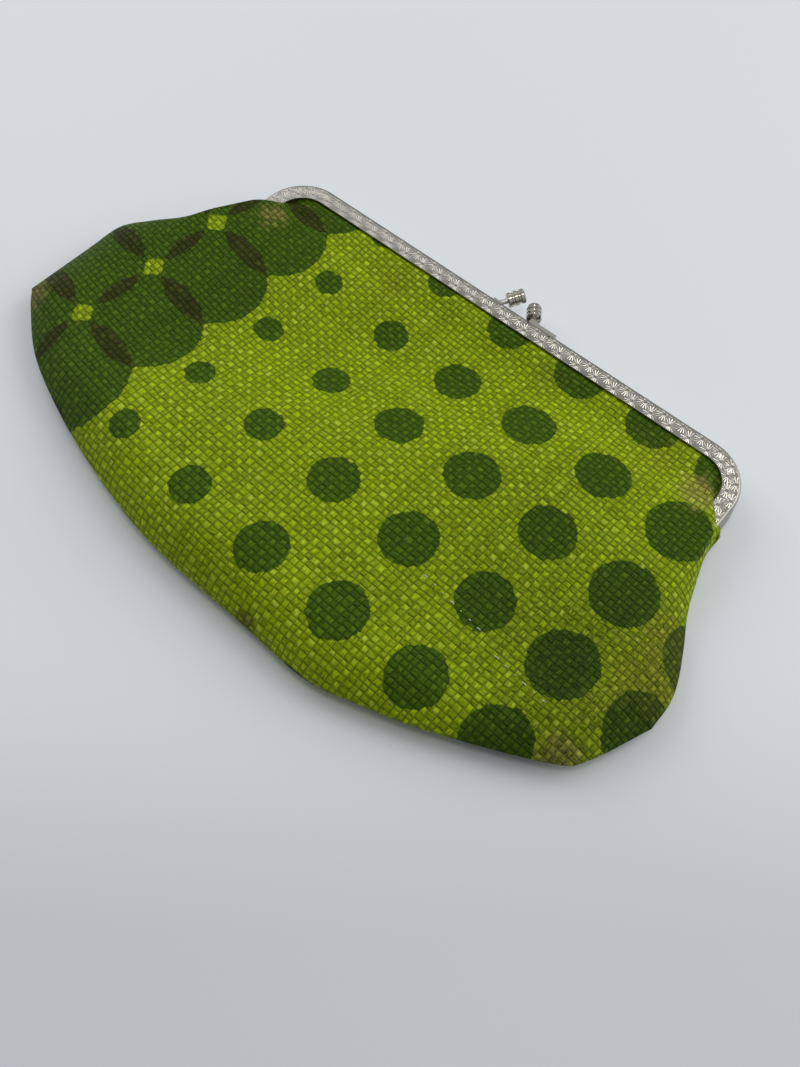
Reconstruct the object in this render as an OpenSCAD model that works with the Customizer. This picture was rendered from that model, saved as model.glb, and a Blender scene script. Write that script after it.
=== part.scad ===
// Kiss-lock coin purse, closed and lying on its back.
// A plated frame in two hinged channels holds a boxed cloth bag and its lining.
// X runs along the frame, +Y points out of the mouth and +Z up through the front.

/* [Frame] */
// Outer width of the frame
frame_w = 165; // [120:1:200]
// Drop from the frame's top edge to the hinge axis
frame_h = 35; // [30:0.5:60]
// Outer radius of the frame's corners
corner_r = 14; // [10:0.5:20]
// Depth of a channel, which shows as the width of the metal band
band_w = 5.2; // [4.5:0.1:7]
// Thickness of one channel from its inner face to its outer face
channel_t = 5; // [4.8:0.1:6.5]
// Sheet thickness of the channels
wall = 0.7; // [0.5:0.05:0.9]
// Bend radius along the outer edges of the channels
edge_r = 0.9; // [0.75:0.05:1.2]
// Gap between the two channels when the purse is shut
frame_gap = 0.3; // [0.2:0.05:0.6]

/* [Hinge] */
// Radius of the round hinge ears
ear_r = 3.2; // [2.6:0.1:3.6]
// Distance from the hinge axis to the end of each channel
leg_end = 4.5; // [4.4:0.1:6]
// Gap between the outer and the inner ear
ear_gap = 0.15; // [0.1:0.05:0.3]
// Length of the inner ear's tongue inside its channel
tongue_l = 7; // [5:0.5:9]
// Radius of the hinge rivets
rivet_r = 0.9; // [0.6:0.05:1.2]
// Radial play of the rivets in the ears
rivet_play = 0.05; // [0.02:0.01:0.1]
// Radius of the rivet heads
rivet_head_r = 1.7; // [1.4:0.1:2.4]
// Thickness of the rivet heads
rivet_head_t = 0.55; // [0.4:0.05:0.8]

/* [Knobs] */
// Radius of the barrel knobs
knob_r = 2.2; // [1.8:0.1:3]
// Length of the barrel knobs
knob_l = 5.2; // [4.5:0.1:7]
// Width of the grooves between a knob's rings
groove_w = 0.45; // [0.3:0.05:0.6]
// Depth of the grooves between a knob's rings
groove_d = 0.3; // [0.15:0.05:0.4]
// Chamfer on the rims of the barrel knobs
knob_chamfer = 0.25; // [0.1:0.05:0.4]
// Clear distance between the two knobs as they pass
lock_gap = 0.3; // [0.2:0.05:0.8]
// Place along the frame where the knobs pass
lock_x = -0.25; // [-10:0.25:10]
// Height of the knobs' near ends above the frame's top edge
knob_up = 3.7; // [3.3:0.1:6]
// Sideways lean of both knobs
knob_lean = 34; // [25:1:42]
// Dip of the front knob towards the back
front_knob_dip = 18; // [5:1:25]
// Rise of the back knob towards the front
back_knob_rise = 7; // [0:1:15]
// Height of the front knob's near end above the parting plane
front_knob_lift = 1.3; // [0.5:0.1:2.5]
// Height of the back knob's near end above the parting plane
back_knob_lift = 1.8; // [0.5:0.1:2.5]
// Radius of the round stalks
stalk_r = 0.8; // [0.6:0.05:1]
// Width of the arm that carries a stalk
arm_w = 2.8; // [2:0.1:3]
// Gap under the arm where it crosses the other channel
arm_gap = 0.4; // [0.3:0.05:0.8]
// Radius of the peg that holds a knob
peg_r = 0.6; // [0.4:0.05:0.7]
// Length of the peg that holds a knob
peg_l = 3; // [2:0.1:4]
// Radial play of the pegs in the knobs
peg_play = 0.05; // [0.02:0.01:0.1]
// Length of the foot strap along the frame
strap_l = 9; // [6:0.5:14]
// Width of the foot strap
strap_w = 3; // [2:0.1:3.2]
// Thickness of the foot strap
strap_t = 1.3; // [0.8:0.1:2]

/* [Bag] */
// Reach of the bag past each end of the frame
bag_flare = 26.5; // [15:0.5:35]
// Drop from the hinge axis to the bag's lowest edge
bag_drop = 87.5; // [75:0.5:130]
// Rise of the bag's shoulders above the hinge axis
shoulder_rise = 12; // [6:0.5:15]
// Inset of the shoulders' bulge from the bag's widest line
shoulder_in = 10; // [6:0.5:14]
// Drop from the hinge axis to the top of the straight sides
side_top = 37; // [28:0.5:40]
// Drop from the hinge axis to the foot of the straight sides
side_bottom = 46; // [43:0.5:52]
// Width of the boxed bottom corners
corner_w = 17; // [10:0.5:24]
// Drop from the hinge axis to the inner end of the boxed corners
corner_drop = 65; // [60:0.5:72]
// Bulge of the boxed corners
corner_bulge = 9; // [5:0.5:12]
// Length of the flat middle of the bottom edge, as a share of its curve
bottom_fullness = 0.56; // [0.4:0.02:0.7]
// Rise of the front over the pouch, above the cloth at the mouth
pouch_rise = 2.3; // [2:0.1:5]
// Rise of the belly above the rest of the front
belly_rise = 4.4; // [1:0.2:8]
// Distance from the middle to the right end of the belly's crest
belly_x = 10; // [0:1:30]
// Width over which the belly falls away to the right of its crest
belly_fade = 70; // [40:1:90]
// Length of the slope from the mouth up to the belly's crest
belly_run = 16; // [12:0.5:24]
// Drop of that slope for each millimetre to the left, where the front sinks in
belly_slant = 0.55; // [0:0.05:0.7]
// Distance from the fold down to the start of that slope on the right
belly_back = 3; // [2:0.5:8]
// Height of the seam round the bag
seam_h = 5; // [3.5:0.25:6.5]
// Width of the flat seam margin
seam_w = 1.5; // [1:0.25:3]
// Width of the rolled edge on the front
roll_front = 15; // [12:1:30]
// Width of the rolled edge on the back
roll_back = 14; // [10:1:20]

/* [Cloth] */
// Thickness of the outer cloth
fabric_t = 1; // [0.6:0.1:1.3]
// Thickness of the lining
lining_t = 0.4; // [0.3:0.05:0.6]
// Gap between the outer cloth and the lining
lining_gap = 0.5; // [0.4:0.05:0.7]
// Gap between the cloth and the channel wall
tuck_gap = 0.1; // [0.05:0.05:0.2]
// Gap on each side of the packing cord
cord_gap = 0.2; // [0.1:0.05:0.3]
// Distance from the frame's outer edge to the tucked edge of the cloth
tuck_in = 1.95; // [1.9:0.05:2.6]
// Distance from the frame's outer edge to the middle of the packing cord
cord_in = 2.8; // [2.7:0.1:3.6]
// Height above the hinge axis at which the front cloth folds open
fold_up = 12; // [10:0.5:14]
// Clearance across that fold
fold_gap = 0.3; // [0.25:0.05:0.6]
// Inset of the lining from the outer seam
lining_in = 5; // [4.5:0.5:8]

/* [Hidden] */
$fn = 64;

// Heights through the closed purse, from the table up
frame_t = 2 * channel_t + frame_gap;
hinge_z = frame_t / 2;
panel_z = wall + tuck_gap;
panel_top = frame_t - panel_z;
lining_z = panel_z + fabric_t + lining_gap;
lining_top = frame_t - lining_z;
cord_r = (channel_t - wall - lining_z - lining_t - 2 * cord_gap) / 2;
cord_z = lining_z + lining_t + cord_gap + cord_r;

// Places across the purse, from the frame's top edge and middle
half_frame = frame_w / 2;
hinge_y = -frame_h;
half_bag = half_frame + bag_flare;
bag_bottom = hinge_y - bag_drop;
inner_ear_x = half_frame - wall - ear_gap - wall;
leg_l = frame_h - corner_r - leg_end;

// The front cloth's fixed lip stops short of the swinging flap's circle
flap_y = hinge_y + fold_up;
flap_r = norm([fold_up, lining_top - lining_t - hinge_z]);
lip_y = hinge_y + sqrt((flap_r - fold_gap) ^ 2 - (panel_top - hinge_z) ^ 2);
lip_margin = 2;
lip_x = half_frame - band_w - lip_margin;

// The cloth is cut back round the hinge, where the front channel swings
notch_gap = 0.5;
notch_y = hinge_y - norm([leg_end, hinge_z]) - notch_gap;
notch_x = half_frame + rivet_head_t + notch_gap;
notch_slope = 1;
row_y = notch_y - notch_slope;

// The knobs' directions, near ends and the height of the higher tip
front_axis = lean(-knob_lean, -front_knob_dip);
back_axis = lean(knob_lean, back_knob_rise);
front_knob_at = [
  lock_x + lock_gap / 2 + across(front_axis), knob_up, hinge_z + front_knob_lift
];
back_knob_at = [
  lock_x - lock_gap / 2 - across(back_axis), knob_up, hinge_z + back_knob_lift
];
knob_top = max([for (a = [front_axis, back_axis]) knob_up + knob_l * a.y + knob_r * norm([a.x, a.z])]);
ring_count = 3;
ring_l = (knob_l - (ring_count - 1) * groove_w) / ring_count;

// The origin lies under the middle of the whole purse
middle_y = (knob_top + bag_bottom) / 2;

function mix(a, b, t) = a + (b - a) * t;
function smooth(t) = let (c = max(0, min(1, t))) c * c * (3 - 2 * c);
function spread(a, b, n) = [for (i = [1:n]) mix(a, b, i / n)];
function mirrored(v) = [for (i = [len(v) - 1:-1:1]) -v[i], for (x = v) x];

// Unit vector that leans sideways and then up from +Y
function lean(side, up) = [sin(side) * cos(up), cos(side) * cos(up), sin(up)];

// Reach of a barrel along X from the middle of its near end
function across(axis) = knob_l * abs(axis.x) + knob_r * norm([axis.y, axis.z]);

// A quadratic curve p, its parameter at a given x, and its y there
function curve(p, t) = (1 - t) ^ 2 * p[0] + 2 * t * (1 - t) * p[1] + t ^ 2 * p[2];
function curve_t(p, x) =
  let (
    a = p[0].x - 2 * p[1].x + p[2].x,
    b = 2 * (p[1].x - p[0].x),
    c = p[0].x - x,
    root = sqrt(max(0, b * b - 4 * a * c))
  )
  2 * c / (-b - (b > 0 ? root : -root));
function curve_y(p, x) = curve(p, curve_t(p, x)).y;

// The bag's outline on the +X side: shoulder, boxed corner and bottom edge
shoulder = [
  [half_frame + rivet_head_t, hinge_y + shoulder_rise],
  [half_bag - shoulder_in, hinge_y],
  [half_bag, hinge_y - side_top]
];
function corner(inset) = [
  [half_bag - inset, hinge_y - side_bottom + inset / 2],
  [half_bag - inset - corner_w / 5, hinge_y - side_bottom - corner_bulge + inset / 2],
  [half_bag - inset - corner_w, hinge_y - corner_drop + inset]
];
function bottom(inset) = [
  corner(inset)[2],
  [bottom_fullness * corner(inset)[2].x, bag_bottom + inset],
  [0, bag_bottom + inset]
];
function bottom_y(x, inset) =
  abs(x) > corner(inset)[2].x
    ? curve_y(corner(inset), abs(x))
    : curve_y(bottom(inset), abs(x));
function shoulder_y(x) = curve_y(shoulder, min(half_bag, abs(x)));

// Distance from a point to the outline
outline_steps = 8;
outline = [
  for (p = [shoulder, corner(0), bottom(0)], i = [0:outline_steps]) curve(p, i / outline_steps)
];
function to_segment(p, a, b) =
  let (d = b - a, t = max(0, min(1, (p - a) * d / max(d * d, 1e-9)))) norm(p - a - t * d);
function to_outline(x, y) =
  min([for (i = [1:len(outline) - 1]) to_segment([abs(x), y], outline[i - 1], outline[i])]);

// Share of the full height that cloth has at a distance from the outline
roll_fullness = 0.8;
function rolled(d, width) =
  let (t = max(0, min(1, (d - seam_w) / width))) (1 - (1 - t) ^ 2) ^ roll_fullness;

// Share by which cloth follows the flat mouth, which ends at x_in
mouth_fade = 10;
function at_mouth(x, y, x_in) =
  smooth((y - notch_y + mouth_fade) / mouth_fade)
  * (1 - smooth((abs(x) - x_in) / (notch_x - x_in)));

// Outer faces of the front and back cloth, and the front's height away from its edge
belly_start = 6;
pouch_run = 11;
function front_level(x, y) =
  let (
    s = hinge_y - y - belly_start,
    lead = min(belly_slant * x, belly_start + fold_up - belly_back),
    slope = smooth((s + lead) / belly_run),
    fall = smooth((x - belly_x) / belly_fade)
  )
  panel_top + pouch_rise * smooth((s + max(0, lead)) / pouch_run) + belly_rise * slope * (1 - fall);
function front_z(x, y) =
  let (
    round = rolled(to_outline(x, y), roll_front),
    share = 1 - (1 - round) * (1 - at_mouth(x, y, lip_x))
  )
  mix(seam_h + fabric_t, front_level(x, y), share);
function back_z(x, y) =
  let (
    m = at_mouth(x, y, half_frame - tuck_in),
    round = rolled(to_outline(x, y), roll_back)
  )
  (seam_h - fabric_t) * (1 - round) * (1 - m) + panel_z * m;

// Top edge of cloth tucked into the channel, with the frame's rounded corners
tuck_x = half_frame - tuck_in;
tuck_r = corner_r - tuck_in;
tuck_steps = 6;
function tucked_y(x) =
  let (over = max(0, abs(x) - (tuck_x - tuck_r)))
  -tuck_in - tuck_r + sqrt(max(0, tuck_r ^ 2 - over ^ 2));
tuck_columns = [
  tuck_x - tuck_r, for (a = [1:tuck_steps]) tuck_x - tuck_r + tuck_r * sin(90 * a / tuck_steps)
];

// Rows of a column of cloth, close together at the seam, level below the hinge
seam_crowding = 1.25;
function crowded(a, b, n) = [for (i = [1:n]) mix(a, b, (i / n) ^ seam_crowding)];
function rows(low, high, lower_n, upper_n) =
  let (
    y0 = low + min(seam_w, (high - low) / 4),
    y1 = min(row_y, max(high - seam_w, mix(low, high, 0.8))),
    y2 = max(high - seam_w, mix(y1, high, 0.6))
  )
  [
    low, y0, each crowded(y0, y1, lower_n), each spread(y1, y2, upper_n), high
  ];

module place() {
  translate([0, -middle_y, 0]) children();
}

// Runs a part along the +Z axis turned to a direction
module along(direction) {
  turn = [0, acos(direction.z), atan2(direction.y, direction.x)];
  rotate(turn) children();
}

module both_sides() {
  children();
  mirror([1, 0, 0]) children();
}

// Section of a channel: outer edge at x = 0, mouth towards -x
module channel_section() {
  difference() {
    union() {
      translate([-band_w, 0]) square([band_w - edge_r, channel_t]);
      translate([-edge_r, edge_r]) square([edge_r, channel_t - 2 * edge_r]);
      for (y = [edge_r, channel_t - edge_r]) translate([-edge_r, y]) circle(edge_r);
    }
    translate([-2 * band_w, wall]) square([2 * band_w - wall, channel_t - 2 * wall]);
  }
}

// Sweeps a section along the top, the rounded corners and both legs
module along_frame(legs) {
  top_l = frame_w - 2 * corner_r;
  translate([-top_l / 2, 0, 0]) rotate([90, 0, 90]) linear_extrude(top_l) children();
  both_sides() {
    translate([top_l / 2, -corner_r, 0])
      rotate_extrude(angle = 90) translate([corner_r, 0]) children();
    translate([half_frame, -corner_r, 0]) rotate([90, 0, 0]) linear_extrude(legs) children();
  }
}

// Flat ear in the YZ plane with its eye on the hinge axis; side is 1 for the front half
module ear(x, side) {
  reach = leg_end + wall;
  near = frame_gap + edge_r / 2;
  far = hinge_z - edge_r;
  translate([x, hinge_y, hinge_z]) rotate([90, 0, 90]) linear_extrude(wall) {
    circle(ear_r);
    polygon([
      [ear_r / 2, -side * ear_r * 0.8], [reach, side * near],
      [reach, side * far], [0, side * ear_r * 0.95]
    ]);
  }
}

module rivet_eye() {
  translate([0, hinge_y, hinge_z]) rotate([0, 90, 0])
    cylinder(r = rivet_r + rivet_play, h = half_frame * 3, center = true);
}

module back_frame() {
  color("lightgray") place() difference() {
    union() {
      along_frame(leg_l) channel_section();
      both_sides() ear(half_frame - wall, -1);
    }
    rivet_eye();
  }
}

// The inner ear is carried by a tongue that lies on the channel's web
module front_frame() {
  tongue_z = hinge_z + frame_gap + edge_r / 2;
  color("silver") place() difference() {
    union() {
      translate([0, 0, channel_t + frame_gap]) along_frame(leg_l) channel_section();
      both_sides() {
        ear(inner_ear_x, 1);
        translate([inner_ear_x, hinge_y + leg_end, tongue_z])
          cube([2 * wall, tongue_l, frame_t - edge_r - tongue_z]);
      }
    }
    rivet_eye();
  }
}

// Rivet with domed heads, clear of the turning inner ear
module hinge_rivet() {
  inside = inner_ear_x - ear_gap;
  head = [
    [0, 0], [rivet_head_r, 0], [rivet_head_r, rivet_head_t / 3],
    [rivet_head_r * 0.7, rivet_head_t], [0, rivet_head_t]
  ];
  translate([0, hinge_y, hinge_z]) rotate([0, 90, 0]) {
    translate([0, 0, inside]) cylinder(r = rivet_r, h = half_frame - inside);
    translate([0, 0, half_frame]) rotate_extrude() polygon(head);
    translate([0, 0, inside]) mirror([0, 0, 1]) rotate_extrude() polygon(head);
  }
}

module hinge_rivet_left() {
  color("gray") place() mirror([1, 0, 0]) hinge_rivet();
}

module hinge_rivet_right() {
  color("gray") place() hinge_rivet();
}

// Strap on the frame's top edge, an arm across the parting, the stalk and its peg
module knob_post(at, axis, channel_mid, side) {
  foot_y = arm_gap + strap_t / 2;
  foot_l = (at.y - foot_y) / axis.y;
  foot = at - axis * foot_l;
  strap_x = side > 0 ? foot.x - arm_w / 2 : foot.x + arm_w / 2 - strap_l;
  low = min(channel_mid - strap_w / 2, foot.z - arm_w / 2);
  high = max(channel_mid + strap_w / 2, foot.z + arm_w / 2);
  translate([strap_x, 0, channel_mid - strap_w / 2]) cube([strap_l, strap_t, strap_w]);
  translate([foot.x - arm_w / 2, arm_gap, low]) cube([arm_w, strap_t, high - low]);
  translate(foot) along(axis) {
    cylinder(r = stalk_r, h = foot_l);
    cylinder(r = peg_r, h = foot_l + peg_l);
  }
}

module back_knob_post() {
  color("silver") place() knob_post(back_knob_at, back_axis, channel_t / 2, -1);
}

module front_knob_post() {
  color("silver") place() knob_post(front_knob_at, front_axis, frame_t - channel_t / 2, 1);
}

// Barrel of raised rings with chamfered rims and a blind hole for its peg
module barrel(at, axis) {
  pitch = ring_l + groove_w;
  c = knob_chamfer;
  rim = [
    for (i = [0:ring_count - 1])
      let (z = i * pitch)
      each [
        [knob_r - groove_d, z], [knob_r - c, z], [knob_r, z + c],
        [knob_r, z + ring_l - c], [knob_r - c, z + ring_l], [knob_r - groove_d, z + ring_l]
      ]
  ];
  hole_l = peg_l + knob_chamfer;
  translate(at) along(axis) difference() {
    rotate_extrude() polygon(concat([[0, 0]], rim, [[0, knob_l]]));
    translate([0, 0, -c]) cylinder(r = peg_r + peg_play, h = hole_l + c);
  }
}

module back_knob() {
  color("gainsboro") place() barrel(back_knob_at, back_axis);
}

module front_knob() {
  color("gainsboro") place() barrel(front_knob_at, front_axis);
}

// Paper cord that wedges the cloth in its channel
module packing_cord(z) {
  translate([0, 0, z]) along_frame(leg_l) translate([-cord_in, 0]) circle(cord_r);
}

module back_packing_cord() {
  color("wheat") place() packing_cord(cord_z);
}

module front_packing_cord() {
  color("wheat") place() packing_cord(frame_t - cord_z);
}

// Flat cloth that is tucked into the front channel down to the fold
module tucked_cloth(z, thickness) {
  top = [for (x = mirrored(concat([0], tuck_columns))) [x, tucked_y(x)]];
  translate([0, 0, z]) linear_extrude(thickness)
    polygon(concat([[tuck_x, flap_y], [-tuck_x, flap_y]], top));
}

// Closed sheet between two height fields over columns of rows
module sheet(xs, rows_at, upper, lower) {
  grid = [for (x = xs) [for (y = rows_at(x)) [x, y]]];
  nx = len(xs) - 1;
  ny = len(grid[0]) - 1;
  n = (nx + 1) * (ny + 1);
  function id(i, j) = i * (ny + 1) + j;
  function quad(a, b, c, d) = [[a, b, c], [a, c, d]];
  top = [for (column = grid, p = column) [p.x, p.y, upper(p.x, p.y)]];
  base = [for (column = grid, p = column) [p.x, p.y, lower(p.x, p.y)]];
  skins = [
    for (i = [0:nx - 1], j = [0:ny - 1])
      let (a = id(i, j), b = id(i, j + 1), c = id(i + 1, j + 1), d = id(i + 1, j))
      each concat(quad(a, b, c, d), quad(n + a, n + d, n + c, n + b))
  ];
  ends = [
    for (i = [0:nx - 1])
      let (a = id(i, 0), b = id(i + 1, 0), c = id(i, ny), d = id(i + 1, ny))
      each concat(quad(a, b, n + b, n + a), quad(d, c, n + c, n + d))
  ];
  sides = [
    for (j = [0:ny - 1])
      let (a = id(0, j), b = id(0, j + 1), c = id(nx, j), d = id(nx, j + 1))
      each concat(quad(b, a, n + a, n + b), quad(c, d, n + d, n + c))
  ];
  polyhedron(concat(top, base), concat(skins, ends, sides), convexity = 8);
}

// Columns of the shoulders, from the notch round the hinge out to the side seam
shoulder_gap = 1.5;
shoulder_columns = [
  notch_x, notch_x + shoulder_gap,
  each spread(notch_x + shoulder_gap, half_bag - seam_w, 6), half_bag
];
lining_columns = concat(
  [0], spread(0, lip_x - notch_slope, 7), [lip_x], spread(lip_x, half_bag - lining_in, 6)
);
lower_rows = 14;
upper_rows = 3;

// Top of the cloth beyond the frame: cut back at the hinge, then the shoulder
function beside_frame_y(x) = abs(x) > notch_x + shoulder_gap / 2 ? shoulder_y(x) : notch_y;

module back_panel() {
  xs = mirrored(concat(
    [0], spread(0, tuck_x - tuck_r - tuck_in, 6), tuck_columns,
    [tuck_x + tuck_gap], shoulder_columns
  ));
  high = function (x) abs(x) > tuck_x + tuck_gap / 2 ? beside_frame_y(x) : tucked_y(x);
  color("olivedrab") place() sheet(
    xs, function (x) rows(bottom_y(x, 0), high(x), lower_rows, upper_rows + 2),
    function (x, y) back_z(x, y) + fabric_t, function (x, y) back_z(x, y)
  );
}

module front_panel_lower() {
  xs = mirrored(concat([0], spread(0, lip_x, 8), [lip_x + notch_slope], shoulder_columns));
  high = function (x) abs(x) > lip_x + notch_slope / 2 ? beside_frame_y(x) : lip_y;
  color("yellowgreen") place() sheet(
    xs, function (x) rows(bottom_y(x, 0), high(x), lower_rows, upper_rows),
    function (x, y) front_z(x, y), function (x, y) front_z(x, y) - fabric_t
  );
}

module front_panel_upper() {
  color("yellowgreen") place() tucked_cloth(panel_top - fabric_t, fabric_t);
}

// Top of the lining beyond the mouth, under the shoulders
function lining_side_y(x) = min(row_y, shoulder_y(abs(x) + lining_in));

module back_lining() {
  xs = mirrored(concat(
    [0], spread(0, tuck_x - tuck_r - tuck_in, 5), tuck_columns,
    [tuck_x + tuck_gap], spread(tuck_x + tuck_gap, half_bag - lining_in, 6)
  ));
  high = function (x) abs(x) > tuck_x + tuck_gap / 2 ? lining_side_y(x) : tucked_y(x);
  lift = fabric_t + lining_gap;
  color("beige") place() sheet(
    xs, function (x) rows(bottom_y(x, lining_in), high(x), lower_rows, upper_rows),
    function (x, y) back_z(x, y) + lift + lining_t, function (x, y) back_z(x, y) + lift
  );
}

module front_lining_lower() {
  high = function (x) abs(x) > lip_x - notch_slope / 2 ? lining_side_y(x) : lip_y;
  drop = fabric_t + lining_gap;
  color("beige") place() sheet(
    mirrored(lining_columns),
    function (x) rows(bottom_y(x, lining_in), high(x), lower_rows, upper_rows),
    function (x, y) front_z(x, y) - drop, function (x, y) front_z(x, y) - drop - lining_t
  );
}

module front_lining_upper() {
  color("beige") place() tucked_cloth(lining_top - lining_t, lining_t);
}

back_frame();
front_frame();
hinge_rivet_left();
hinge_rivet_right();
back_knob_post();
front_knob_post();
back_knob();
front_knob();
back_packing_cord();
front_packing_cord();
back_panel();
front_panel_lower();
front_panel_upper();
back_lining();
front_lining_lower();
front_lining_upper();
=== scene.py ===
"""Kiss-lock coin purse: printed cloth, lining, packing cord, embossed frame and studio."""
import math

import bpy
import numpy as np
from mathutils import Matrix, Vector

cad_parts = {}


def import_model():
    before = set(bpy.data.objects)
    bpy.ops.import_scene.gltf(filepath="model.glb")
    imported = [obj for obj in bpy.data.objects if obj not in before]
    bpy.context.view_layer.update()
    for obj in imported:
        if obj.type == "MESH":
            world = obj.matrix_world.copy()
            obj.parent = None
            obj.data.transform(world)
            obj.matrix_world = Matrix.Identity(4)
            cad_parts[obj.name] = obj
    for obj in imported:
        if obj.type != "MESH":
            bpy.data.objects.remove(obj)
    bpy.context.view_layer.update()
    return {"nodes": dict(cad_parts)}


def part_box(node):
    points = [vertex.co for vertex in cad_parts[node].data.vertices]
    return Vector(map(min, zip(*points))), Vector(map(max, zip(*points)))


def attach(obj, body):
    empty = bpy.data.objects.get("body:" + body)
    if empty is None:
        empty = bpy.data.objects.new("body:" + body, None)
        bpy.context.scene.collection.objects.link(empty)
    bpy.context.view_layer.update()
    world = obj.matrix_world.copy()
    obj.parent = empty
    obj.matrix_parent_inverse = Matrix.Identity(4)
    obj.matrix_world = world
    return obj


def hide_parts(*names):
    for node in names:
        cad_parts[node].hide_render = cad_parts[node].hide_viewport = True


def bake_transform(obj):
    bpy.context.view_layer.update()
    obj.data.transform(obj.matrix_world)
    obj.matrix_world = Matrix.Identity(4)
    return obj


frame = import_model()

# Cloth shapes are in millimetres, from the middle of the frame's top edge and the table.
MM = 0.001
FRAME_TOP_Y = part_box("front_frame")[1].y
BAND_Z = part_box("front_frame")[1].z / MM
FRAME_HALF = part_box("front_frame")[1].x / MM
# Drops of the hinge and of the legs' ends below the frame's top edge, and the band's corner and width.
HINGE_S, LEG_END_S = 35.0, 30.5
CORNER_R, BAND_W = 14.0, 5.2


def world(points):
    """Millimetres from the frame's top edge to metres in the shared frame."""
    p = np.asarray(points, float) * MM
    return p + np.array([0.0, FRAME_TOP_Y, 0.0])


def smooth(t):
    """0 below 0, 1 above 1 and a soft step between."""
    t = np.clip(t, 0.0, 1.0)
    return t * t * (3 - 2 * t)


def mix(a, b, t):
    """a at 0 and b at 1."""
    return a + (b - a) * t


# Mesh tools


def mesh_object(name, points, faces, material, smooth_shading=True):
    """A mesh piece from points in metres."""
    mesh = bpy.data.meshes.new(name)
    mesh.from_pydata([tuple(p) for p in points], [], [tuple(f) for f in faces])
    mesh.validate()
    mesh.polygons.foreach_set("use_smooth", [smooth_shading] * len(mesh.polygons))
    mesh.materials.append(material)
    piece = bpy.data.objects.new(name, mesh)
    bpy.context.scene.collection.objects.link(piece)
    return piece


def grid_faces(columns, rows, flip=False):
    """Quads of a grid whose points run along the rows of each column."""
    i, j = np.meshgrid(np.arange(columns - 1), np.arange(rows - 1), indexing="ij")
    a = (i * rows + j).ravel()
    quads = np.stack([a, a + rows, a + rows + 1, a + 1], axis=1)
    return quads[:, ::-1] if flip else quads


def add_levels(piece, name, values):
    """Stores a number per point."""
    attribute = piece.data.attributes.new(name, "FLOAT", "POINT")
    attribute.data.foreach_set("value", np.asarray(values, np.float32))


def add_vectors(piece, name, values):
    """Stores a vector per point, which stays with the cloth as it moves."""
    attribute = piece.data.attributes.new(name, "FLOAT_VECTOR", "POINT")
    attribute.data.foreach_set("vector", np.asarray(values, np.float32).ravel())


def ring_faces(rings, sides, base=0):
    """Faces of a closed tube whose points run round each ring."""
    faces = []
    for i in range(rings - 1):
        a, b = base + i * sides, base + (i + 1) * sides
        for k in range(sides):
            n = (k + 1) % sides
            faces.append((a + k, b + k, b + n, a + n))
    last = base + (rings - 1) * sides
    faces.append(tuple(base + k for k in range(sides)))
    faces.append(tuple(last + k for k in reversed(range(sides))))
    return faces


def thicken(piece, thickness):
    """Gives a sheet its thickness, on the side away from its normals."""
    modifier = piece.modifiers.new("thickness", "SOLIDIFY")
    modifier.thickness = thickness * MM
    modifier.offset = -1.0
    modifier.use_even_offset = False


# The form of the cloth, in millimetres

# The front cloth's level, and its swells and hollows: middle, turn in degrees, reach along and across,
# and height. The cloth is full at the bottom and sinks in a slanting trough below the band.
FRONT_LEVEL = 10.6
SWELLS = {
    "belly": (-15, -65, 20, 70, 22, 3.8),
    "bottom_fullness": (10, -95, 40, 60, 40, 5.4),
    "left_hip": (-50, -110, 60, 28, 40, 2.7),
    "left_shoulder": (-100, -30, 10, 55, 26, 2.5),
    "right_shoulder": (40, -33, 60, 20, 20, 1.2),
    "trough": (-20, -37, 35, 75, 20, -3.4),
    "left_hollow": (-55, -5, -45, 80, 28, -2.6),
    "right_hollow": (55, -11, 15, 30, 14, -2.1),
    "lower_right_hollow": (55, -85, 25, 60, 18, -1.2),
}

# The bag's outline from the left hinge round the bottom to the right hinge.
LEFT_SIDE = [
    (-83.5, -14.0), (-94.0, -31.0), (-104.5, -40.0), (-111.5, -48.0), (-113.0, -60.0), (-115.0, -80.5),
]
BOTTOM = [
    (-115.0, -80.5), (-109.5, -86.0), (-96.0, -96.5), (-74.5, -106.0), (-51.5, -113.0), (-28.5, -117.5),
    (4.5, -119.0), (25.5, -120.0), (39.0, -117.0), (59.0, -110.5), (86.5, -98.0), (93.0, -91.5),
    (100.0, -75.5),
]
RIGHT_SIDE = [
    (83.9, -22.5), (84.2, -28.0), (86.3, -35.0), (89.5, -44.0), (94.0, -52.5), (98.0, -61.0),
    (99.8, -67.5), (100.0, -75.5),
]

# Height of the seam, thickness of the cloth, and how deep the channel holds it.
SEAM_Z, CLOTH_T, TUCK_S = 5.5, 0.9, 2.2


def spline(points, per_span=12):
    """Points along a Catmull-Rom curve through the given ones."""
    p = np.array(points, float)
    p = np.concatenate([[2 * p[0] - p[1]], p, [2 * p[-1] - p[-2]]])
    t = np.linspace(0, 1, per_span, endpoint=False)[:, None]
    spans = []
    for a, b, c, d in zip(p, p[1:], p[2:], p[3:]):
        square, cube = 2 * a - 5 * b + 4 * c - d, 3 * (b - c) + d - a
        spans.append(b + 0.5 * t * (c - a + t * (square + t * cube)))
    return np.concatenate(spans + [p[-2:-1]])


LEFT_EDGE, BOTTOM_EDGE, RIGHT_EDGE = spline(LEFT_SIDE), spline(BOTTOM), spline(RIGHT_SIDE)
EDGE = np.concatenate([LEFT_EDGE, BOTTOM_EDGE[1:], RIGHT_EDGE[::-1][1:]])
TIP_LEFT, TIP_RIGHT = LEFT_SIDE[-1][0], RIGHT_SIDE[-1][0]


def below(x):
    """The outline's lower edge at x."""
    return np.interp(x, BOTTOM_EDGE[:, 0], BOTTOM_EDGE[:, 1])


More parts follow.
